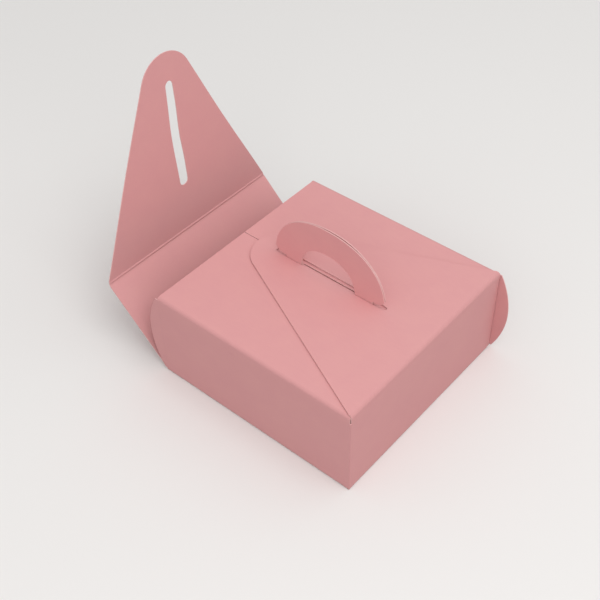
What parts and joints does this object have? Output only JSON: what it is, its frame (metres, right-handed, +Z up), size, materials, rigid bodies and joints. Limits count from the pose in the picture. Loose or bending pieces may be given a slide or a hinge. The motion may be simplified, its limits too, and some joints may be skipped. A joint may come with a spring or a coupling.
{
  "type": "favor box",
  "caption": "Square folded card favor box with slotted triangular lid flaps that close over a standing two-layer carrying handle with a finger hole.",
  "frame": {"origin": "centre of the base panel's underside", "axes": "+X from the open left side to the right side, +Y from the front to the rear along the lids' folds, +Z up"},
  "size_m": [0.1423, 0.1, 0.1175],
  "materials": {
    "card": "uncoated matt pink card, cut edges a little paler"
  },
  "bodies": {
    "box": {"base_panel": "card", "front_wall": "card", "rear_wall": "card", "right_wall": "card", "front_top_flap": "card", "rear_top_flap": "card", "tab_front_right": "card"},
    "handle_front": {"handle_front": "card"},
    "handle_rear": {"handle_rear": "card"},
    "left_wall": {"left_wall": "card"},
    "left_lid": {"left_lid": "card"},
    "right_lid": {"right_lid": "card"},
    "tab_front_left": {"tab_front_left": "card"},
    "tab_rear_left": {"tab_rear_left": "card"},
    "tab_rear_right": {"tab_rear_right": "card"}
  },
  "joints": [
    {"name": "left_wall_fold", "type": "hinge", "parent": "box", "child": "left_wall", "pos_m": [-0.0498, 0, 0.0002], "axis": [0, -1, 0], "range_deg": [-45, 45]},
    {"name": "left_lid_fold", "type": "hinge", "parent": "left_wall", "child": "left_lid", "pos_m": [-0.08077, 0, 0.03117], "axis": [0, -1, 0], "range_deg": [-48.5, 41.5]},
    {"name": "right_lid_fold", "type": "hinge", "parent": "box", "child": "right_lid", "pos_m": [0.0498, 0, 0.0433], "axis": [0, 1, 0], "range_deg": [0, 90]},
    {"name": "handle_front_fold", "type": "hinge", "parent": "box", "child": "handle_front", "pos_m": [0, 0.00175, 0.0426], "axis": [1, 0, 0], "range_deg": [-8, 8]},
    {"name": "handle_rear_fold", "type": "hinge", "parent": "box", "child": "handle_rear", "pos_m": [0, 0.00245, 0.0426], "axis": [1, 0, 0], "range_deg": [-8, 8]},
    {"name": "tab_front_left_fold", "type": "hinge", "parent": "box", "child": "tab_front_left", "pos_m": [-0.0491, -0.0498, 0.0216], "axis": [0, 0, 1], "range_deg": [-90, 0]},
    {"name": "tab_rear_left_fold", "type": "hinge", "parent": "box", "child": "tab_rear_left", "pos_m": [-0.0491, 0.0498, 0.0216], "axis": [0, 0, -1], "range_deg": [-90, 0]},
    {"name": "tab_rear_right_fold", "type": "hinge", "parent": "box", "child": "tab_rear_right", "pos_m": [0.0491, 0.0498, 0.0216], "axis": [0, 0, 1], "range_deg": [-15, 30]}
  ],
  "couplings": [
    {"joint": "handle_rear_fold", "follows": "handle_front_fold", "ratio": 1}
  ]
}
